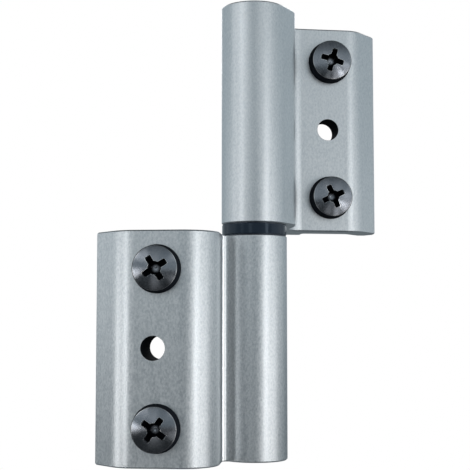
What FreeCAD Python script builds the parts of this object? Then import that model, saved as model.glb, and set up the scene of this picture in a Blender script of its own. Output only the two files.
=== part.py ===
# Lift-off hinge for doors on profile frames: two extruded aluminium halves stacked on one steel pin.
# The frame's origin is on the pin axis, level with the bottom end of the lower half. +Z runs up the
# pin, the lower half's screws are driven along +Y, and its wing reaches out along -X. Millimetres.
import FreeCAD, Part
import math
import os

Vector = FreeCAD.Vector
UP = Vector(0, 0, 1)
ORIGIN = Vector(0, 0, 0)

# Lengths along the pin
leaf_height = 50.0
collar_thickness = 2.6
pin_rise = 30.0
pin_recess = 2.0
sleeve_rise = 18.0
end_chamfer = 0.3

# Knuckle, pin and bush across the pin axis
knuckle_dia = 14.8
pin_dia = 8.0
press_interference = 0.01
running_clearance = 0.05
sleeve_wall = 0.95
seat_clearance = 0.05
collar_step = 0.1
collar_edge = 0.25
pin_nose = 1.2
pin_foot = 0.5
bore_mouth = 0.5

# How far the upper half stands swung from the lower one, in degrees
swing_at_rest = 13.0

# Screws, the same in both halves
screw_spacing = 33.4
screw_hole_dia = 5.5
locating_hole_dia = 5.2
screw_dia = 5.0
screw_length = 20.0
thread_length = 7.0
plain_shank_dia = 4.4
screw_point = 0.6
head_base_dia = 10.4
head_rim_dia = 9.7
head_side = 3.0
head_dome = 0.7
recess_span = 5.8
recess_depth = 2.5
recess_floor_span = 3.4
recess_arm = 1.35
recess_floor_arm = 1.0
recess_core_dia = 2.7
recess_floor_core_dia = 1.35
recess_angles = {
    "lower_screw_top": 32.0,
    "lower_screw_bottom": 55.0,
    "upper_screw_top": -16.0,
    "upper_screw_bottom": 24.0,
}

# Lower half's section, seen from above: distances in front of and to the left of the pin axis
lower_face = 19.8
lower_seat = 7.0
lower_neck_side = 6.5
lower_screw_line = 19.2
lower_hole_line = 20.0
lower_tip = 33.4
lower_bevel = 6.4
lower_neck_round = 8.0
lower_wing_round = 7.2
lower_land_outer = 24.6
lower_land_inner = 12.5
lower_web_fillet = 3.0
throat_fillet = 0.8

# Upper half's section in its closed position: distances behind and to the right of the pin axis
upper_face = 15.4
upper_seat = 26.4
upper_neck_side = 10.12
upper_neck_back = 3.0
upper_screw_line = 21.2
upper_hole_line = 20.7
upper_tip = 33.9
upper_bevel = 6.1
upper_wing_round = 5.5
upper_neck_fillet = 4.0
upper_neck_round = 7.0
upper_foot_inner = 15.8
cheek_angle = -37.5
knuckle_root_fillet = 2.0

# Shapes that both wings share
tip_round = 1.0
tip_edge = 2.9
toe_width = 1.9
toe_bevel = 1.6
toe_round = 0.5
relief_depth = 4.0
relief_round = 0.6

# How closely an edge has to lie where it is looked for
edge_tolerance = 0.001

# Worked out from the sizes above
knuckle_r = knuckle_dia / 2
upper_base = leaf_height + collar_thickness
upper_bore_dia = pin_dia + 2 * (running_clearance + sleeve_wall + seat_clearance)
screw_offsets = {"bottom": (leaf_height - screw_spacing) / 2, "top": (leaf_height + screw_spacing) / 2}


def rounded_outline(corners):
    """Closed outline in the XY plane. Each corner is (x, y, radius), and radius 0 leaves it sharp."""
    edges = []
    count = len(corners)
    ends = []
    for index, (x, y, radius) in enumerate(corners):
        here = Vector(x, y, 0)
        before = Vector(*corners[index - 1][:2], 0)
        after = Vector(*corners[(index + 1) % count][:2], 0)
        to_before = (before - here).normalize()
        to_after = (after - here).normalize()
        half_angle = to_before.getAngle(to_after) / 2
        if radius == 0:
            ends.append((here, None, here))
            continue
        tangent = radius / math.tan(half_angle)
        middle_line = (to_before + to_after).normalize()
        centre = here + middle_line * (radius / math.sin(half_angle))
        ends.append((here + to_before * tangent, centre - middle_line * radius, here + to_after * tangent))
    for index, (start, middle, end) in enumerate(ends):
        if middle is not None:
            edges.append(Part.Arc(start, middle, end).toShape())
        edges.append(Part.LineSegment(end, ends[(index + 1) % count][0]).toShape())
    return Part.Wire(edges)


def extrude(outline, base, height):
    return Part.Face(outline).extrude(UP * height).translated(UP * base)


def round_upright_edge(solid, x, y, radius):
    """Fillet the edge that stands at x, y over the whole height of the solid."""
    picked = []
    for edge in solid.Edges:
        box = edge.BoundBox
        upright = box.XLength < edge_tolerance and box.YLength < edge_tolerance
        if upright and math.hypot(box.Center.x - x, box.Center.y - y) < edge_tolerance:
            picked.append(edge)
    return solid.makeFillet(radius, picked)


def break_ends(solid, base):
    """Chamfer the sawn ends of an extrusion all round its outline."""
    picked = []
    for edge in solid.Edges:
        box = edge.BoundBox
        level = box.ZLength < edge_tolerance
        off_end = min(abs(box.Center.z - base), abs(box.Center.z - base - leaf_height))
        if level and off_end < edge_tolerance:
            picked.append(edge)
    return solid.makeChamfer(end_chamfer, picked)


def bored(solid, base, bore_r):
    """Drill the pin bore through the knuckle and countersink both of its mouths."""
    solid = solid.cut(Part.makeCylinder(bore_r, leaf_height, UP * base, UP))
    mouth_r = bore_r + bore_mouth
    bottom = Part.makeCone(mouth_r, bore_r, bore_mouth, UP * base, UP)
    top = Part.makeCone(bore_r, mouth_r, bore_mouth, UP * (base + leaf_height - bore_mouth), UP)
    return solid.cut(bottom).cut(top)


def drilled(solid, base, screw_line, hole_line, front, back):
    """Drill both screw holes and the locating hole between them, from front to back."""
    span = back - front
    for offset in screw_offsets.values():
        start = Vector(screw_line, front, base + offset)
        solid = solid.cut(Part.makeCylinder(screw_hole_dia / 2, span, start, Vector(0, 1, 0)))
    start = Vector(hole_line, front, base + leaf_height / 2)
    return solid.cut(Part.makeCylinder(locating_hole_dia / 2, span, start, Vector(0, 1, 0)))


def lower_leaf():
    bevel_start = lower_tip - lower_bevel
    toe_end = lower_tip - toe_bevel - toe_width
    corner_distance = math.hypot(lower_land_inner, lower_seat)
    web_angle = math.atan2(-lower_seat, -lower_land_inner) - math.acos(knuckle_r / corner_distance)
    web_end = (knuckle_r * math.cos(web_angle), knuckle_r * math.sin(web_angle))
    outline = rounded_outline([
        (-lower_neck_side, 0, 0),
        (-lower_neck_side, -lower_face, lower_neck_round),
        (-bevel_start, -lower_face, lower_wing_round),
        (-lower_tip, -lower_face + lower_bevel, tip_round),
        (-lower_tip, -lower_seat - tip_edge, toe_round),
        (-lower_tip + toe_bevel, -lower_seat, toe_round),
        (-toe_end, -lower_seat, toe_round),
        (-toe_end + relief_depth, -lower_seat - relief_depth, relief_round),
        (-lower_land_outer, -lower_seat - relief_depth, relief_round),
        (-lower_land_outer, -lower_seat, toe_round),
        (-lower_land_inner, -lower_seat, lower_web_fillet),
        (web_end[0], web_end[1], 0),
    ])
    knuckle = Part.makeCylinder(knuckle_r, leaf_height)
    solid = extrude(outline, 0, leaf_height).fuse(knuckle).removeSplitter()
    throat_y = -math.sqrt(knuckle_r ** 2 - lower_neck_side ** 2)
    solid = round_upright_edge(solid, -lower_neck_side, throat_y, throat_fillet)
    solid = break_ends(solid, 0)
    solid = bored(solid, 0, pin_dia / 2 - press_interference)
    return drilled(solid, 0, -lower_screw_line, -lower_hole_line, -lower_face, -lower_seat)


def upper_leaf():
    bevel_start = upper_tip - upper_bevel
    toe_end = upper_tip - toe_bevel - toe_width
    cheek = math.radians(cheek_angle)
    cheek_x = knuckle_r * math.cos(cheek)
    cheek_y = knuckle_r * math.sin(cheek)
    cheek_top = cheek_y - (upper_neck_side - cheek_x) / math.tan(cheek)
    outline = rounded_outline([
        (cheek_x, cheek_y, 0),
        (upper_neck_side, cheek_top, upper_neck_round),
        (upper_neck_side, upper_face, upper_neck_fillet),
        (bevel_start, upper_face, upper_wing_round),
        (upper_tip, upper_face + upper_bevel, tip_round),
        (upper_tip, upper_seat - tip_edge, toe_round),
        (upper_tip - toe_bevel, upper_seat, toe_round),
        (toe_end, upper_seat, toe_round),
        (toe_end - relief_depth, upper_seat - relief_depth, relief_round),
        (upper_foot_inner, upper_seat - relief_depth, relief_round),
        (upper_foot_inner, upper_seat, toe_round),
        (upper_neck_back, upper_seat, tip_round),
        (upper_neck_back, 0, 0),
    ])
    knuckle = Part.makeCylinder(knuckle_r, leaf_height, UP * upper_base, UP)
    solid = extrude(outline, upper_base, leaf_height).fuse(knuckle).removeSplitter()
    root_y = math.sqrt(knuckle_r ** 2 - upper_neck_back ** 2)
    solid = round_upright_edge(solid, upper_neck_back, root_y, knuckle_root_fillet)
    solid = break_ends(solid, upper_base)
    solid = bored(solid, upper_base, upper_bore_dia / 2)
    solid = drilled(solid, upper_base, upper_screw_line, upper_hole_line, upper_face, upper_seat)
    return swung(solid)


def swung(shape):
    """Turn a piece of the upper half from its closed position to where it stands at rest."""
    return shape.rotated(ORIGIN, UP, swing_at_rest)


def turned(section):
    """Solid of revolution about Z from a closed section of (radius, height) points."""
    points = [Vector(radius, 0, height) for radius, height in section]
    return Part.Face(Part.makePolygon(points + points[:1])).revolve(ORIGIN, UP, 360)


def hinge_pin():
    """Ground steel pin, pressed into the lower knuckle and pointed for the upper half to drop on."""
    radius = pin_dia / 2
    bottom = pin_recess
    top = leaf_height + pin_rise
    return turned([
        (0, bottom),
        (radius - pin_foot, bottom),
        (radius, bottom + pin_foot),
        (radius, top - pin_nose),
        (radius - pin_nose / 2, top),
        (0, top),
    ])


def flanged_bush():
    """Plastic bush: its collar keeps the halves apart and its sleeve lines the upper knuckle."""
    inner = pin_dia / 2 + running_clearance
    sleeve = inner + sleeve_wall
    collar = knuckle_r - collar_step
    bottom = leaf_height
    seat = upper_base
    return turned([
        (inner, bottom),
        (collar - collar_edge, bottom),
        (collar, bottom + collar_edge),
        (collar, seat - collar_edge),
        (collar - collar_edge, seat),
        (sleeve, seat),
        (sleeve, seat + sleeve_rise - collar_edge),
        (sleeve - collar_edge, seat + sleeve_rise),
        (inner, seat + sleeve_rise),
    ])


def cross_recess(top):
    """Cutter for the cross: two tapering bars over a conical core, its mouth at height top."""
    floor = top - recess_depth
    floor_x = recess_floor_span / 2
    floor_y = recess_floor_arm / 2
    mouth_x = recess_span / 2
    mouth_y = recess_arm / 2
    lying = Part.makeWedge(-floor_x, 0, -floor_y, -mouth_y, -mouth_x,
                           floor_x, recess_depth, floor_y, mouth_y, mouth_x)
    bar = lying.rotated(ORIGIN, Vector(1, 0, 0), 90).translated(UP * floor)
    core = Part.makeCone(recess_floor_core_dia / 2, recess_core_dia / 2, recess_depth, UP * floor, UP)
    return bar.fuse(bar.rotated(ORIGIN, UP, 90)).fuse(core)


def screw(recess_angle):
    """Raised cheese head screw, upright, with the underside of its head at Z = 0."""
    base = head_base_dia / 2
    rim = head_rim_dia / 2
    crown = head_side + head_dome
    draft = (base - rim) / head_side
    blank = Part.makeCone(base, base - draft * crown, crown)
    dome_r = (rim ** 2 + head_dome ** 2) / (2 * head_dome)
    ball = Part.makeSphere(dome_r, UP * (crown - dome_r), Vector(-1, 0, 0))
    head = blank.common(ball).cut(cross_recess(crown).rotated(ORIGIN, UP, recess_angle))
    thread = screw_dia / 2
    shank = plain_shank_dia / 2
    thread_start = thread_length - screw_length
    return head.fuse(turned([
        (0, -screw_length),
        (thread - screw_point, -screw_length),
        (thread, screw_point - screw_length),
        (thread, thread_start),
        (shank, thread_start),
        (shank, 0),
        (0, 0),
    ]))


def driven(name, x, y, z):
    """Screw lying along Y with its head towards -Y and its seat at the given point."""
    return screw(recess_angles[name]).rotated(ORIGIN, Vector(1, 0, 0), 90).translated(Vector(x, y, z))


def build():
    pieces = {
        "lower_leaf": lower_leaf(),
        "upper_leaf": upper_leaf(),
        "hinge_pin": hinge_pin(),
        "flanged_bush": flanged_bush(),
    }
    for place, offset in screw_offsets.items():
        name = "lower_screw_" + place
        pieces[name] = driven(name, -lower_screw_line, -lower_face, offset)
        name = "upper_screw_" + place
        pieces[name] = swung(driven(name, upper_screw_line, upper_face, upper_base + offset))
    return pieces


os.makedirs("parts", exist_ok=True)
for node, shape in build().items():
    shape.exportStep("parts/" + node + ".step")
    print(node, shape.isValid(), len(shape.Solids), round(shape.Volume, 1))
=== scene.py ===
import bmesh
import bpy
import math
from mathutils import Euler, Matrix, Vector


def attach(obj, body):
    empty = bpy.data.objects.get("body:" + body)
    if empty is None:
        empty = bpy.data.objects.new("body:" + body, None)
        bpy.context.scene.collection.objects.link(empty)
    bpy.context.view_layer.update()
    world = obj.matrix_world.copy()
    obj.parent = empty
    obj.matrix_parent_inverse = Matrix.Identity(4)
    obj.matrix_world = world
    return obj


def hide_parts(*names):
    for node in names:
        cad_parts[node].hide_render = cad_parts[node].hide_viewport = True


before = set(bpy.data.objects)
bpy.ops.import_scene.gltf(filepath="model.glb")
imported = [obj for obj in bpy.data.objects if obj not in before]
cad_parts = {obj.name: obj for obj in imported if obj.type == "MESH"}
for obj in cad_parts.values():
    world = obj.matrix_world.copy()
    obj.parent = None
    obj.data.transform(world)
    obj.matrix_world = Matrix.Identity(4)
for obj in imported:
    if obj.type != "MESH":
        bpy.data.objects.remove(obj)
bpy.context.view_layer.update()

MM = 0.001
WHITE = (1.0, 1.0, 1.0, 1.0)

# Photograph's side and focal length in pixels, and the camera in the row's frame, in metres and degrees
PHOTO_SIDE = 470
FOCAL_PIXELS = 1150.0
SENSOR_WIDTH = 36.0
CLIP_START = 0.01
CAMERA_PLACE = (0.01834, -0.25969, 0.02909)
CAMERA_PITCH = 4.66
CAMERA_YAW = 5.0

# The part's own sizes that the screws and the finishes follow, in millimetres and degrees
SWING_AT_REST = 13.0
LEAF_HEIGHT = 50.0
UPPER_BASE = 52.6
KNUCKLE_R = 7.4
SCREW_SPACING = 33.4
LOCATING_HOLE_R = 2.6
LOWER_FACE = 19.8
LOWER_SCREW_LINE = 19.2
LOWER_HOLE_LINE = 20.0
UPPER_FACE = 15.4
UPPER_SCREW_LINE = 21.2
UPPER_HOLE_LINE = 20.7

# Screw: a raised cheese head on an M5 shank, upright, in millimetres, with its seat at height 0
HEAD_BASE_R = 5.2
HEAD_RIM_R = 4.85
HEAD_SIDE = 3.0
HEAD_DOME = 0.7
HEAD_TOP = HEAD_SIDE + HEAD_DOME
CROWN_STEPS = 18
SIDE_STEPS = 4
SIDE_RUN = 2.7
BASE_BREAK_UP = 0.12
BASE_BREAK_IN = 0.10
THREAD_R = 2.5
THREAD_DEPTH = 0.46
THREAD_PITCH = 0.8
SHANK_R = 2.2
SHANK_END = -13.0
SCREW_END = -20.0
SEGMENTS = 96
SMOOTH_BELOW_DEGREES = 28

# Turned edge between face and side: how far in and down each row lies, in shares of the break
RIM_BREAK = 0.12
RIM_BREAK_ROWS = ((0.3, 0.35), (0.0, 1.2))

# Fillet under the head: how far outside the shank each row lies, and its height
NECK_ROWS = ((0.35, 0.0), (0.08, -0.06), (0.0, -0.35))

# Thread: rows to a pitch, run-in, point, depth at both ends and the shape of its groove
ROWS_PER_PITCH = 8
THREAD_RUN_IN = 0.15
POINT_LENGTH = 0.6
POINT_TAPER = 0.6
THREAD_AT_START = 0.55
THREAD_AT_END = 0.25
FLANK_RISE = 1.35
CREST_WIDTH = 0.15

# Cross recess, with the pointed core between its arms
RECESS_SPAN = 6.0
RECESS_FLOOR_SPAN = 3.4
RECESS_ARM = 1.35
RECESS_FLOOR_ARM = 1.0
RECESS_DEPTH = 2.5
RECESS_FLOOR = HEAD_TOP - RECESS_DEPTH
ARM_CORNER = 0.18
ARM_CUT_ABOVE = 0.4
CORE_R = 1.45
CORE_FLARE = 0.1
CORE_MOUTH_DROP = 0.1
CORE_CUT_ABOVE = 0.5
CORE_TIP_R = 0.35
CORE_TIP_FLARE = 0.35
CORE_TIP_RISE = 0.1
CORE_TIP_DROP = 0.06
CORE_TIP_BLUNTNESS = 0.2
CORE_SIDES = 32
RECESS_ANGLES = {
    "lower_screw_top": 32.0,
    "lower_screw_bottom": 55.0,
    "upper_screw_top": -16.0,
    "upper_screw_bottom": 24.0,
}

# Break at the recess's mouth, and how its edges are told from the others
MOUTH_BREAK = 0.11
MOUTH_PAST_RECESS = 0.1
MOUTH_BELOW_FACE = 0.02
MOUTH_LEAST_DEGREES = 35

# Where painted shade and painted highlights begin and end, in millimetres: round a hole, in the throat and
# over a screw's head
HOLE_WALL_PAST = (0.01, 0.06)
THROAT_TURN_X = (-7.2, -6.85)
THROAT_TURN_SHARE = 0.2
THROAT_WALL_X = (-6.8, -6.55)
THROAT_WALL_Y = (-8.1, -6.9)
THROAT_BACK_Y = (-5.6, -5.0)
THROAT_PAST_KNUCKLE = (0.05, 0.25)
THROAT_FACING = (0.42, -0.91, 0.0)
SIDE_BELOW_TOP = (0.15, 0.02)
SIDE_INSIDE_RIM = (0.8, 0.4)
LIP_INSIDE_RIM = (0.30, 0.22)
LIP_RISE = 0.03
RIM_INSIDE_RIM = (0.17, 0.10)
SHADE_BELOW_FACE = (0.12, 0.40)
SHADE_ABOVE_SEAT = (0.3, 0.6)
SHADE_OFF_AXIS = (0.35, 1.0)
SHADE_PAST_RECESS = (0.3, 0.5)

# Middle part of a noise's values that finishes use, and the turn of a normal that counts as an edge
NOISE_RANGE = (0.3, 0.7)
EDGE_TURN = (0.90, 0.995)
EDGE_SAMPLES = 4

# Parts of a metallic finish painted dark as shade, such as a hole's wall, are made non-metallic and
# reflect next to nothing
PAINTED_SHADE_IOR = 1.2
PAINTED_SHADE_SPECULAR = 0.1


class Nodes:
    """Adds and links the shader nodes of one material."""

    def __init__(self, name):
        self.material = bpy.data.materials.new(name)
        self.material.use_nodes = True
        self.tree = self.material.node_tree
        self.shader = self.tree.nodes["Principled BSDF"]

    def add(self, kind, **settings):
        node = self.tree.nodes.new(kind)
        for key, value in settings.items():
            setattr(node, key, value)
        return node

    def link(self, out, into):
        self.tree.links.new(out, into)

    def fix(self, socket, value):
        """Set one of the shader's own sockets to a constant."""
        self.shader.inputs[socket].default_value = value

    def feed(self, socket, out):
        """Link an output to one of the shader's own sockets."""
        self.link(out, self.shader.inputs[socket])

    def object_place(self, scale):
        where = self.add("ShaderNodeTexCoord")
        mapping = self.add("ShaderNodeMapping")
        mapping.inputs["Scale"].default_value = scale
        self.link(where.outputs["Object"], mapping.inputs["Vector"])
        return mapping.outputs["Vector"]

    def axes(self):
        """The object's own x, y and z, in metres."""
        where = self.add("ShaderNodeTexCoord")
        split = self.add("ShaderNodeSeparateXYZ")
        self.link(where.outputs["Object"], split.inputs["Vector"])
        return split.outputs["X"], split.outputs["Y"], split.outputs["Z"]

    def noise(self, scale, detail, stretch=(1.0, 1.0, 1.0), roughness=0.5):
        noise = self.add("ShaderNodeTexNoise")
        noise.inputs["Scale"].default_value = scale
        noise.inputs["Detail"].default_value = detail
        noise.inputs["Roughness"].default_value = roughness
        self.link(self.object_place(stretch), noise.inputs["Vector"])
        return noise.outputs["Fac"]

    def noise_along(self, value, scale, detail):
        """Noise along a single value."""
        noise = self.add("ShaderNodeTexNoise", noise_dimensions="1D")
        noise.inputs["Scale"].default_value = scale
        noise.inputs["Detail"].default_value = detail
        self.link(value, noise.inputs["W"])
        return noise.outputs["Fac"]

    def spread(self, value, low, high, limits=NOISE_RANGE):
        """Map the value, between its two limits, to the range from low to high."""
        spread = self.add("ShaderNodeMapRange")
        spread.inputs["From Min"].default_value = limits[0]
        spread.inputs["From Max"].default_value = limits[1]
        spread.inputs["To Min"].default_value = low
        spread.inputs["To Max"].default_value = high
        self.link(value, spread.inputs["Value"])
        return spread.outputs["Result"]

    def share(self, mask, most, least=0.0):
        """The mask's 0 to 1 as least to most."""
        return self.spread(mask, least, most, (0.0, 1.0))

    def rise(self, value, start, full, most=1.0):
        """0 up to start and most from full on, for a length in metres and limits in millimetres."""
        return self.spread(value, 0.0, most, (start * MM, full * MM))

    def fall(self, value, full, end):
        """1 up to full and 0 from end on, for a length in metres and limits in millimetres."""
        return self.spread(value, 1.0, 0.0, (full * MM, end * MM))

    def maths(self, operation, first, second=None):
        node = self.add("ShaderNodeMath", operation=operation)
        for value, socket in ((first, node.inputs[0]), (second, node.inputs[1])):
            if isinstance(value, float):
                socket.default_value = value
            elif value is not None:
                self.link(value, socket)
        return node.outputs["Value"]

    def times(self, first, second):
        return self.maths("MULTIPLY", first, second)

    def either(self, first, second):
        return self.maths("MAXIMUM", first, second)

    def less(self, first, second):
        return self.maths("SUBTRACT", first, second)

    def reach(self, first, second):
        """Length of the vector (first, second)."""
        squares = self.maths("ADD", self.times(first, first), self.times(second, second))
        return self.maths("SQRT", squares)

    def edges(self, radius):
        """1 on edges and 0 elsewhere: how far a rounded normal turns from the mesh's own."""
        bevel = self.add("ShaderNodeBevel", samples=EDGE_SAMPLES)
        bevel.inputs["Radius"].default_value = radius
        geometry = self.add("ShaderNodeNewGeometry")
        turn = self.add("ShaderNodeVectorMath", operation="DOT_PRODUCT")
        self.link(bevel.outputs["Normal"], turn.inputs[0])
        self.link(geometry.outputs["Normal"], turn.inputs[1])
        return self.spread(turn.outputs["Value"], 1.0, 0.0, EDGE_TURN)

    def mix(self, factor, first, second):
        mix = self.add("ShaderNodeMix", data_type="RGBA")
        self.link(factor, mix.inputs["Factor"])
        for value, socket in ((first, mix.inputs["A"]), (second, mix.inputs["B"])):
            if isinstance(value, tuple):
                socket.default_value = value
            else:
                self.link(value, socket)
        return mix.outputs["Result"]

    def lean(self, factor, normal, direction):
        """The normal, leant towards a fixed direction by the factor."""
        lean = self.add("ShaderNodeMix", data_type="VECTOR")
        self.link(factor, lean.inputs["Factor"])
        self.link(normal, lean.inputs["A"])
        lean.inputs["B"].default_value = direction
        level = self.add("ShaderNodeVectorMath", operation="NORMALIZE")
        self.link(lean.outputs["Result"], level.inputs[0])
        return level.outputs["Vector"]

    def bump(self, height, strength, distance, normal=None):
        bump = self.add("ShaderNodeBump")
        bump.inputs["Strength"].default_value = strength
        bump.inputs["Distance"].default_value = distance
        self.link(height, bump.inputs["Height"])
        if normal is not None:
            self.link(normal, bump.inputs["Normal"])
        return bump.outputs["Normal"]


def hole_wall_shade(n, along, line, height):
    """Mask of painted shade on a locating hole's wall. Along is the wing's direction, as seen from above.
    """
    x, y, z = n.axes()
    run = n.maths("ADD", n.times(x, along[0]), n.times(y, along[1]))
    off_centre = n.reach(n.less(run, line * MM), n.less(z, height * MM))
    full, end = HOLE_WALL_PAST
    return n.fall(off_centre, LOCATING_HOLE_R + full, LOCATING_HOLE_R + end)


def painted_throat_highlight(n):
    """Mask of the painted highlight in the throat between the lower wing's neck and the knuckle, standing
    in for a small lit rounding there.
    """
    x, y, _ = n.axes()
    turn = n.rise(x, *THROAT_TURN_X, most=THROAT_TURN_SHARE)
    wall = n.times(n.rise(x, *THROAT_WALL_X), n.rise(y, *THROAT_WALL_Y))
    start, full = THROAT_PAST_KNUCKLE
    beside = n.rise(n.reach(x, y), KNUCKLE_R + start, KNUCKLE_R + full)
    before = n.fall(y, *THROAT_BACK_Y)
    return n.times(n.either(turn, wall), n.times(beside, before))


def anodised(name, dark, light, along, hole_line, hole_height, throat=False):
    """Matte anodised extrusion, speckled, with faint draw lines, painted highlights on its edges and
    painted shade on the wall of its locating hole; with throat, also a painted highlight in the throat.
    """
    cloud_colour = (0.56, 0.585, 0.605, 1.0)
    draw_colour = (0.74, 0.76, 0.77, 1.0)
    edge_highlight_colour = (0.86, 0.87, 0.88, 1.0)
    hole_shade_colour = (0.012, 0.014, 0.018, 1.0)
    throat_highlight_colour = (0.97, 0.975, 0.98, 1.0)
    n = Nodes(name)
    grain = n.noise(scale=2700.0, detail=2.0, stretch=(1.0, 1.0, 0.6), roughness=0.6)
    speckle = n.spread(grain, 0.0, 1.0, limits=(0.34, 0.66))
    clouds = n.noise(scale=500.0, detail=4.0, stretch=(1.0, 1.0, 0.35))
    cloud = n.spread(clouds, 0.0, 1.0, limits=(0.35, 0.65))
    draw_lines = n.noise(scale=1500.0, detail=3.0, stretch=(1.0, 1.0, 0.03))
    draw = n.spread(draw_lines, 0.0, 1.0)
    base = n.mix(speckle, dark, light)
    base = n.mix(n.share(cloud, 0.14), base, cloud_colour)
    base = n.mix(n.share(draw, 0.20), base, draw_colour)
    # Painted highlight along the edges
    base = n.mix(n.share(n.edges(radius=0.35 * MM), 0.45), base, edge_highlight_colour)
    hole = hole_wall_shade(n, along, hole_line, hole_height)
    # Painted shade on the locating hole's wall: near black, non-metallic and rough
    base = n.mix(hole, base, hole_shade_colour)
    normal = n.bump(speckle, strength=0.16, distance=0.02 * MM)
    normal = n.bump(draw, strength=0.12, distance=0.01 * MM, normal=normal)
    if throat:
        # Painted highlight in the throat, near white, with the normal leant so that it catches the key
        # light
        throat_highlight = painted_throat_highlight(n)
        base = n.mix(throat_highlight, base, throat_highlight_colour)
        normal = n.lean(throat_highlight, normal, THROAT_FACING)
    n.feed("Base Color", base)
    n.feed("Metallic", n.less(1.0, hole))
    n.fix("IOR", PAINTED_SHADE_IOR)
    n.fix("Specular IOR Level", PAINTED_SHADE_SPECULAR)
    n.feed("Roughness", n.either(n.share(speckle, least=0.33, most=0.43), n.times(hole, 0.9)))
    n.feed("Normal", normal)
    return n.material


def lower_anodised():
    dark = (0.53, 0.558, 0.577, 1.0)
    light = (0.77, 0.785, 0.795, 1.0)
    return anodised("anodised_aluminium_lower", dark, light, along=(-1.0, 0.0),
                    hole_line=LOWER_HOLE_LINE, hole_height=LEAF_HEIGHT / 2, throat=True)


def upper_anodised():
    dark = (0.57, 0.595, 0.615, 1.0)
    light = (0.74, 0.755, 0.765, 1.0)
    swing = math.radians(SWING_AT_REST)
    return anodised("anodised_aluminium_upper", dark, light, along=(math.cos(swing), math.sin(swing)),
                    hole_line=UPPER_HOLE_LINE, hole_height=UPPER_BASE + LEAF_HEIGHT / 2)


def black_plastic():
    """Glossy moulded plastic with faint turning marks."""
    deep = (0.005, 0.009, 0.018, 1.0)
    pale = (0.014, 0.021, 0.036, 1.0)
    sheen = (0.66, 0.84, 1.0, 1.0)
    n = Nodes("black_plastic")
    turning = n.noise(scale=1400.0, detail=2.0, stretch=(0.05, 0.05, 1.0))
    grain = n.noise(scale=3500.0, detail=2.0)
    n.feed("Base Color", n.mix(grain, deep, pale))
    n.feed("Roughness", n.spread(grain, 0.10, 0.18))
    n.fix("Specular IOR Level", 0.4)
    n.fix("Specular Tint", sheen)
    n.feed("Normal", n.bump(turning, strength=0.2, distance=0.02 * MM))
    return n.material


def ground_steel():
    """Bright steel, ground round its axis."""
    dark = (0.46, 0.45, 0.44, 1.0)
    light = (0.62, 0.61, 0.60, 1.0)
    n = Nodes("ground_steel")
    rings = n.noise(scale=5200.0, detail=2.0, stretch=(0.02, 0.02, 1.0))
    n.feed("Base Color", n.mix(rings, dark, light))
    n.fix("Metallic", 1.0)
    n.feed("Roughness", n.spread(rings, 0.24, 0.34))
    n.feed("Normal", n.bump(rings, strength=0.05, distance=0.005 * MM))
    return n.material


def recess_shade(n, off_axis, z):
    """Mask of painted shade in the recess's arms, by depth below the crowned face, without the floor on
    the axis, which is left lit.
    """
    sag = n.times(n.times(off_axis, off_axis), HEAD_DOME / MM / HEAD_RIM_R ** 2)
    deep = n.rise(n.less(n.less(HEAD_TOP * MM, sag), z), *SHADE_BELOW_FACE)
    above = n.rise(z, *SHADE_ABOVE_SEAT)
    arms = n.rise(off_axis, *SHADE_OFF_AXIS)
    full, end = SHADE_PAST_RECESS
    within = n.fall(off_axis, RECESS_SPAN / 2 + full, RECESS_SPAN / 2 + end)
    return n.times(n.times(deep, above), n.times(arms, within))


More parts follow.
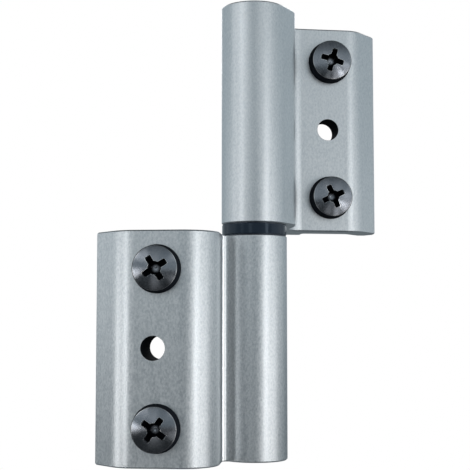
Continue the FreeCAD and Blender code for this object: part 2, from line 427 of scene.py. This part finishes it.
def black_nickel():
    """Blackened turned screw: ring marks on the face, painted highlights on its edges and on a thin lip
    above the side, and painted shade on the side, at the rim and in the recess's arms, leaving the
    recess's floor lit.
    """
    dark = (0.185, 0.200, 0.228, 1.0)
    light = (0.250, 0.262, 0.285, 1.0)
    ring_colour = (0.31, 0.32, 0.335, 1.0)
    edge_highlight_colour = (0.88, 0.87, 0.86, 1.0)
    side_shade_colour = (0.008, 0.011, 0.016, 1.0)
    lip_highlight_colour = (0.55, 0.55, 0.55, 1.0)
    rim_shade_colour = (0.015, 0.018, 0.024, 1.0)
    recess_shade_colour = (0.003, 0.004, 0.006, 1.0)
    n = Nodes("black_nickel")
    x, y, z = n.axes()
    off_axis = n.reach(x, y)

    def inside_rim(start, full):
        return n.rise(off_axis, HEAD_RIM_R - start, HEAD_RIM_R - full)

    rings = n.noise_along(off_axis, scale=9000.0, detail=3.0)
    grain = n.noise(scale=2600.0, detail=3.0)
    # Mask of painted shade on the head's side, up to just below its top
    full, end = SIDE_BELOW_TOP
    side = n.times(n.fall(z, HEAD_SIDE - full, HEAD_SIDE - end), inside_rim(*SIDE_INSIDE_RIM))
    # Mask of a painted highlight on a thin lip above the side
    lip = n.times(inside_rim(*LIP_INSIDE_RIM), n.rise(z, HEAD_SIDE, HEAD_SIDE + LIP_RISE))
    # Mask of painted shade as a dark outline at the rim
    rim = inside_rim(*RIM_INSIDE_RIM)
    recess = recess_shade(n, off_axis, z)
    base = n.mix(n.spread(grain, 0.0, 1.0), dark, light)
    base = n.mix(n.spread(rings, 0.0, 0.35), base, ring_colour)
    # Painted highlight along the edges
    base = n.mix(n.share(n.edges(radius=0.16 * MM), 0.9), base, edge_highlight_colour)
    # Painted shade on the head's side
    base = n.mix(side, base, side_shade_colour)
    # Painted highlight on the lip
    base = n.mix(n.share(lip, 0.5), base, lip_highlight_colour)
    # Painted shade as a dark outline at the rim
    base = n.mix(rim, base, rim_shade_colour)
    # Painted shade in the recess's arms
    base = n.mix(recess, base, recess_shade_colour)
    # Where shade is painted, the finish is also non-metallic and rough
    painted_shade = n.either(n.either(side, rim), recess)
    n.feed("Base Color", base)
    n.feed("Metallic", n.less(1.0, painted_shade))
    n.feed("Roughness", n.either(n.spread(grain, 0.20, 0.27), n.times(painted_shade, 0.6)))
    n.fix("IOR", PAINTED_SHADE_IOR)
    n.fix("Specular IOR Level", PAINTED_SHADE_SPECULAR)
    n.fix("Anisotropic", 0.8)
    n.fix("Anisotropic Rotation", 0.25)
    n.feed("Tangent", n.add("ShaderNodeTangent", direction_type="RADIAL", axis="Z").outputs["Tangent"])
    marks = n.bump(rings, strength=0.12, distance=0.01 * MM)
    n.feed("Normal", n.bump(grain, strength=0.10, distance=0.01 * MM, normal=marks))
    return n.material


FINISHES = {
    "lower_leaf": lower_anodised,
    "upper_leaf": upper_anodised,
    "hinge_pin": ground_steel,
    "flanged_bush": black_plastic,
}


def dress(node, material):
    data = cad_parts[node].data
    data.materials.clear()
    data.materials.append(material)


def dome_height(radius):
    """Height of the head's crowned face at a distance from its axis."""
    ball_r = (HEAD_RIM_R ** 2 + HEAD_DOME ** 2) / (2 * HEAD_DOME)
    return HEAD_TOP - ball_r + math.sqrt(ball_r ** 2 - radius ** 2)


def head_rows():
    """Rows of the head and its neck from crown to shank, each (radius, height)."""
    face_r = HEAD_RIM_R - RIM_BREAK
    rows = []
    for step in range(1, CROWN_STEPS + 1):
        radius = face_r * step / CROWN_STEPS
        rows.append((radius, dome_height(radius)))
    for inward, down in RIM_BREAK_ROWS:
        rows.append((HEAD_RIM_R - RIM_BREAK * inward, dome_height(face_r) - RIM_BREAK * down))
    for step in range(1, SIDE_STEPS + 1):
        share = step / SIDE_STEPS
        radius = HEAD_RIM_R + (HEAD_BASE_R - HEAD_RIM_R) * share
        rows.append((radius, SIDE_RUN * (1 - share) + BASE_BREAK_UP))
    rows.append((HEAD_BASE_R - BASE_BREAK_IN, 0.0))
    for outward, height in NECK_ROWS:
        rows.append((SHANK_R + outward, height))
    rows.append((SHANK_R, SHANK_END + THREAD_RUN_IN))
    return rows


def thread_rows():
    """Rows of the thread down to the point, each (radius, height, share of the groove's depth)."""
    length = SHANK_END - SCREW_END
    count = round(length / THREAD_PITCH * ROWS_PER_PITCH)
    rows = []
    for step in range(count + 1):
        height = SHANK_END - length * step / count
        from_start = (SHANK_END - height) / THREAD_PITCH
        from_end = (height - SCREW_END) / POINT_LENGTH
        radius = THREAD_R - POINT_LENGTH * POINT_TAPER * max(0.0, 1 - from_end)
        rows.append((radius, height, min(1.0, THREAD_AT_START + from_start, THREAD_AT_END + from_end)))
    return rows


def thread_cut(height, turn):
    """Depth of the groove at a height and a share of a turn, from 0 at the crest to 1 at its root."""
    phase = (height / THREAD_PITCH + turn) % 1.0
    return min(1.0, max(0.0, FLANK_RISE * (1 - abs(2 * phase - 1)) - CREST_WIDTH))


def screw_blank():
    """The turned and threaded screw, without its recess."""
    mesh = bmesh.new()
    crown = mesh.verts.new((0, 0, dome_height(0)))
    loops = []
    rows = [(radius, height, 0.0) for radius, height in head_rows()] + thread_rows()
    for radius, height, thread in rows:
        loop = []
        for step in range(SEGMENTS):
            angle = 2 * math.pi * step / SEGMENTS
            here = radius - THREAD_DEPTH * thread * thread_cut(height, step / SEGMENTS)
            loop.append(mesh.verts.new((here * math.cos(angle), here * math.sin(angle), height)))
        loops.append(loop)
    point = mesh.verts.new((0, 0, SCREW_END))
    for step in range(SEGMENTS):
        after = (step + 1) % SEGMENTS
        mesh.faces.new((crown, loops[0][step], loops[0][after]))
        mesh.faces.new((point, loops[-1][after], loops[-1][step]))
        for upper, lower in zip(loops, loops[1:]):
            mesh.faces.new((upper[step], lower[step], lower[after], upper[after]))
    return mesh


def stacked_prism(sections):
    """Closed prism through stacked outlines of the same number of points."""
    mesh = bmesh.new()
    loops = [[mesh.verts.new(point) for point in section] for section in sections]
    count = len(loops[0])
    mesh.faces.new(loops[0])
    mesh.faces.new(list(reversed(loops[-1])))
    for lower, upper in zip(loops, loops[1:]):
        for step in range(count):
            after = (step + 1) % count
            mesh.faces.new((lower[step], upper[step], upper[after], lower[after]))
    bmesh.ops.recalc_face_normals(mesh, faces=mesh.faces)
    return mesh


def recess_bar(crosswise):
    """One bar of the cross, tapering from above the crown to the recess's floor."""
    sections = []
    for height in (RECESS_FLOOR, HEAD_TOP + ARM_CUT_ABOVE):
        share = (height - RECESS_FLOOR) / RECESS_DEPTH
        span = (RECESS_FLOOR_SPAN + (RECESS_SPAN - RECESS_FLOOR_SPAN) * share) / 2
        arm = (RECESS_FLOOR_ARM + (RECESS_ARM - RECESS_FLOOR_ARM) * share) / 2
        near_span = span - ARM_CORNER
        near_arm = arm - ARM_CORNER
        outline = [(span, near_arm), (near_span, arm), (-near_span, arm), (-span, near_arm),
                   (-span, -near_arm), (-near_span, -arm), (near_span, -arm), (span, -near_arm)]
        sections.append([(-y, x, height) if crosswise else (x, y, height) for x, y in outline])
    return stacked_prism(sections)


def recess_core():
    """Pointed cone between the four arms."""
    profile = (
        (CORE_TIP_R * CORE_TIP_BLUNTNESS, RECESS_FLOOR - CORE_TIP_DROP),
        (CORE_TIP_R + CORE_TIP_FLARE, RECESS_FLOOR + CORE_TIP_RISE),
        (CORE_R, HEAD_TOP - CORE_MOUTH_DROP),
        (CORE_R + CORE_FLARE, HEAD_TOP + CORE_CUT_ABOVE),
    )
    angles = [2 * math.pi * step / CORE_SIDES for step in range(CORE_SIDES)]
    sections = []
    for radius, height in profile:
        sections.append([(radius * math.cos(angle), radius * math.sin(angle), height) for angle in angles])
    return stacked_prism(sections)


def as_object(name, mesh):
    data = bpy.data.meshes.new(name)
    mesh.to_mesh(data)
    mesh.free()
    made = bpy.data.objects.new(name, data)
    bpy.context.scene.collection.objects.link(made)
    return made


def cut_away(target, cutter):
    """Take the cutter out of the target and remove the cutter."""
    modifier = target.modifiers.new("cut", "BOOLEAN")
    modifier.operation = "DIFFERENCE"
    modifier.solver = "EXACT"
    modifier.object = cutter
    bpy.context.view_layer.update()
    cut = target.evaluated_get(bpy.context.evaluated_depsgraph_get())
    done = bpy.data.meshes.new_from_object(cut)
    target.modifiers.clear()
    target.data = done
    bpy.data.objects.remove(cutter)


def break_mouth(data):
    """Small chamfer where the recess meets the crowned face."""
    mesh = bmesh.new()
    mesh.from_mesh(data)
    mouth = []
    for edge in mesh.edges:
        if len(edge.link_faces) != 2:
            continue
        middle = (edge.verts[0].co + edge.verts[1].co) / 2
        radius = math.hypot(middle.x, middle.y)
        if radius > RECESS_SPAN / 2 + MOUTH_PAST_RECESS:
            continue
        if middle.z < dome_height(radius) - MOUTH_BELOW_FACE:
            continue
        if edge.calc_face_angle(0.0) > math.radians(MOUTH_LEAST_DEGREES):
            mouth.append(edge)
    bmesh.ops.bevel(mesh, geom=mouth, offset=MOUTH_BREAK, segments=1, affect="EDGES", clamp_overlap=True)
    mesh.to_mesh(data)
    mesh.free()


def screw_master():
    """The finished screw, in metres, upright with its seat at the origin."""
    screw = as_object("screw_master", screw_blank())
    cutters = (recess_bar(crosswise=False), recess_bar(crosswise=True), recess_core())
    for number, cutter in enumerate(cutters):
        cut_away(screw, as_object("cutter_%d" % number, cutter))
    data = screw.data
    break_mouth(data)
    bpy.data.objects.remove(screw)
    data.transform(Matrix.Scale(MM, 4))
    data.materials.clear()
    data.materials.append(black_nickel())
    data.shade_smooth()
    data.set_sharp_from_angle(angle=math.radians(SMOOTH_BELOW_DEGREES))
    return data


def turned(degrees, axis):
    return Matrix.Rotation(math.radians(degrees), 4, axis)


def drive_screws():
    """Put a screw in the place of each CAD screw."""
    master = screw_master()
    low = (LEAF_HEIGHT - SCREW_SPACING) / 2
    offsets = {"bottom": low, "top": LEAF_HEIGHT - low}
    for name, recess_angle in RECESS_ANGLES.items():
        body, _, place = name.split("_")
        if body == "lower":
            seat = Vector((-LOWER_SCREW_LINE, -LOWER_FACE, offsets[place]))
            swing = 0.0
        else:
            seat = Vector((UPPER_SCREW_LINE, UPPER_FACE, UPPER_BASE + offsets[place]))
            swing = SWING_AT_REST
        screw = bpy.data.objects.new("turned_" + name, master.copy())
        bpy.context.scene.collection.objects.link(screw)
        laid = turned(90, "X") @ turned(recess_angle, "Z")
        screw.matrix_world = turned(swing, "Z") @ Matrix.Translation(seat * MM) @ laid
        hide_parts(name)
        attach(screw, body)


# Studio light, in metres, degrees and watts. Azimuths count to the right from the camera's own side.
MIDDLE = (0.0, 0.0, 0.05)
PANEL_DISTANCE = 0.7
PANEL_SIZE = (0.13, 0.14)

# Soft panels round the camera's side, as azimuth: {height: power}, with powers fitted to the photo's light
PANELS = {
    -75: {-0.15: 0.185, 0.00: 0.137, 0.30: 0.066},
    -60: {0.00: 0.051, 0.30: 0.042},
    -45: {0.00: 0.285, 0.30: 0.135},
    -30: {0.30: 0.080},
    -15: {-0.15: 0.041, 0.15: 0.034, 0.30: 0.014},
    15: {-0.15: 0.050, 0.30: 0.042},
    30: {-0.30: 0.080, -0.15: 0.080, 0.00: 0.050, 0.30: 0.038},
    45: {-0.15: 0.060, 0.00: 0.070, 0.15: 0.105},
    60: {-0.15: 0.140, 0.00: 0.116, 0.30: 0.029},
    75: {-0.15: 0.065, 0.00: 0.101},
}

# Lights beside the part and the one behind it, as (azimuth, distance, height, size, power)
SIDE_LIGHTS = {
    "key_light": (38, 0.7, -0.01, (0.06, 0.12), 0.22),
    "left_rim": (-92, 0.7, 0.06, (0.16, 0.7), 0.130),
    "right_rim": (90, 0.7, 0.06, (0.16, 0.7), 0.139),
}
BACK_BOX = (180, 0.8, 0.42, (0.50, 0.30), 1.8)

# Sky: its colour, its strengths, and the parts of its unit direction over which they change
SKY_COLOUR = (0.84, 0.98, 1.06, 1.0)
SKY_BELOW_FRONT = 0.04
SKY_BELOW_BACK = 0.19
SKY_BAND = 0.53
SKY_HIGH = 0.13
FRONT_TO_BACK = (-0.3, 0.3)
HORIZON = (-0.04, 0.04)
BAND_TOP = (0.42, 0.58)

FLOOR_LEVEL = -0.09
FLOOR_SIDE = 0.7
FLOOR_COLOUR = (0.85, 0.85, 0.85, 1.0)
FLOOR_ROUGHNESS = 0.8
FLOOR_GLOW = 0.62


def area_light(name, azimuth, distance, height, size, power):
    """Rectangular light that stands at that distance from the pin's axis and faces the part's middle."""
    angle = math.radians(CAMERA_YAW + azimuth)
    place = Vector((distance * math.sin(angle), -distance * math.cos(angle), height))
    light = bpy.data.lights.new(name, "AREA")
    light.shape = "RECTANGLE"
    light.size, light.size_y = size
    light.energy = power
    holder = bpy.data.objects.new(name, light)
    holder.location = place
    towards = Vector(MIDDLE) - place
    holder.rotation_euler = towards.to_track_quat("-Z", "Z").to_euler()
    bpy.context.scene.collection.objects.link(holder)
    return holder


def light_part():
    for azimuth, powers in PANELS.items():
        for height, power in powers.items():
            area_light("panel", azimuth, PANEL_DISTANCE, height, PANEL_SIZE, power)
    for name, values in SIDE_LIGHTS.items():
        area_light(name, *values)
    back_box = area_light("back_box", *BACK_BOX)
    back_box.visible_camera = False


def sky_strength(tree):
    """Pale band from the horizon up to about 30 degrees, dimmer above it and dim below."""
    where = tree.nodes.new("ShaderNodeTexCoord")
    split = tree.nodes.new("ShaderNodeSeparateXYZ")
    tree.links.new(where.outputs["Generated"], split.inputs["Vector"])

    def change(axis, limits, low, high):
        """Go from low, a number or an output, to high between two limits along an axis."""
        node = tree.nodes.new("ShaderNodeMapRange")
        tree.links.new(split.outputs[axis], node.inputs["Value"])
        node.inputs["From Min"].default_value = limits[0]
        node.inputs["From Max"].default_value = limits[1]
        node.inputs["To Max"].default_value = high
        if isinstance(low, float):
            node.inputs["To Min"].default_value = low
        else:
            tree.links.new(low, node.inputs["To Min"])
        return node.outputs["Result"]

    below = change("Y", FRONT_TO_BACK, SKY_BELOW_FRONT, SKY_BELOW_BACK)
    band = change("Z", HORIZON, below, SKY_BAND)
    return change("Z", BAND_TOP, band, SKY_HIGH)


def make_world():
    """The sky lights the part, and the camera sees white paper behind it."""
    world = bpy.data.worlds.new("studio")
    world.use_nodes = True
    tree = world.node_tree
    sky = tree.nodes["Background"]
    sky.inputs["Color"].default_value = SKY_COLOUR
    tree.links.new(sky_strength(tree), sky.inputs["Strength"])
    paper = tree.nodes.new("ShaderNodeBackground")
    paper.inputs["Color"].default_value = WHITE
    paper.inputs["Strength"].default_value = 1.0
    path = tree.nodes.new("ShaderNodeLightPath")
    choose = tree.nodes.new("ShaderNodeMixShader")
    tree.links.new(path.outputs["Is Camera Ray"], choose.inputs["Fac"])
    tree.links.new(sky.outputs["Background"], choose.inputs[1])
    tree.links.new(paper.outputs["Background"], choose.inputs[2])
    tree.links.new(choose.outputs["Shader"], tree.nodes["World Output"].inputs["Surface"])
    bpy.context.scene.world = world


def lay_floor():
    """Plain pale floor that neither mirrors in the part nor lights or shades it."""
    half = FLOOR_SIDE / 2
    corners = [(-half, -half, FLOOR_LEVEL), (half, -half, FLOOR_LEVEL),
               (half, half, FLOOR_LEVEL), (-half, half, FLOOR_LEVEL)]
    data = bpy.data.meshes.new("floor")
    data.from_pydata(corners, [], [(0, 1, 2, 3)])
    n = Nodes("pale_floor")
    n.fix("Base Color", FLOOR_COLOUR)
    n.fix("Roughness", FLOOR_ROUGHNESS)
    n.fix("Emission Color", WHITE)
    n.fix("Emission Strength", FLOOR_GLOW)
    data.materials.append(n.material)
    floor = bpy.data.objects.new("floor", data)
    bpy.context.scene.collection.objects.link(floor)
    floor.visible_glossy = False
    floor.visible_diffuse = False
    floor.visible_shadow = False


def place_camera():
    lens = bpy.data.cameras.new("camera")
    lens.sensor_fit = "HORIZONTAL"
    lens.sensor_width = SENSOR_WIDTH
    lens.lens = FOCAL_PIXELS / PHOTO_SIDE * SENSOR_WIDTH
    lens.clip_start = CLIP_START
    camera = bpy.data.objects.new("camera", lens)
    camera.location = CAMERA_PLACE
    camera.rotation_euler = Euler((math.radians(90 + CAMERA_PITCH), 0.0, math.radians(CAMERA_YAW)))
    bpy.context.scene.collection.objects.link(camera)
    bpy.context.scene.camera = camera


for node, finish in FINISHES.items():
    dress(node, finish())
drive_screws()
light_part()
make_world()
bpy.context.scene.view_settings.view_transform = "Standard"
lay_floor()
place_camera()
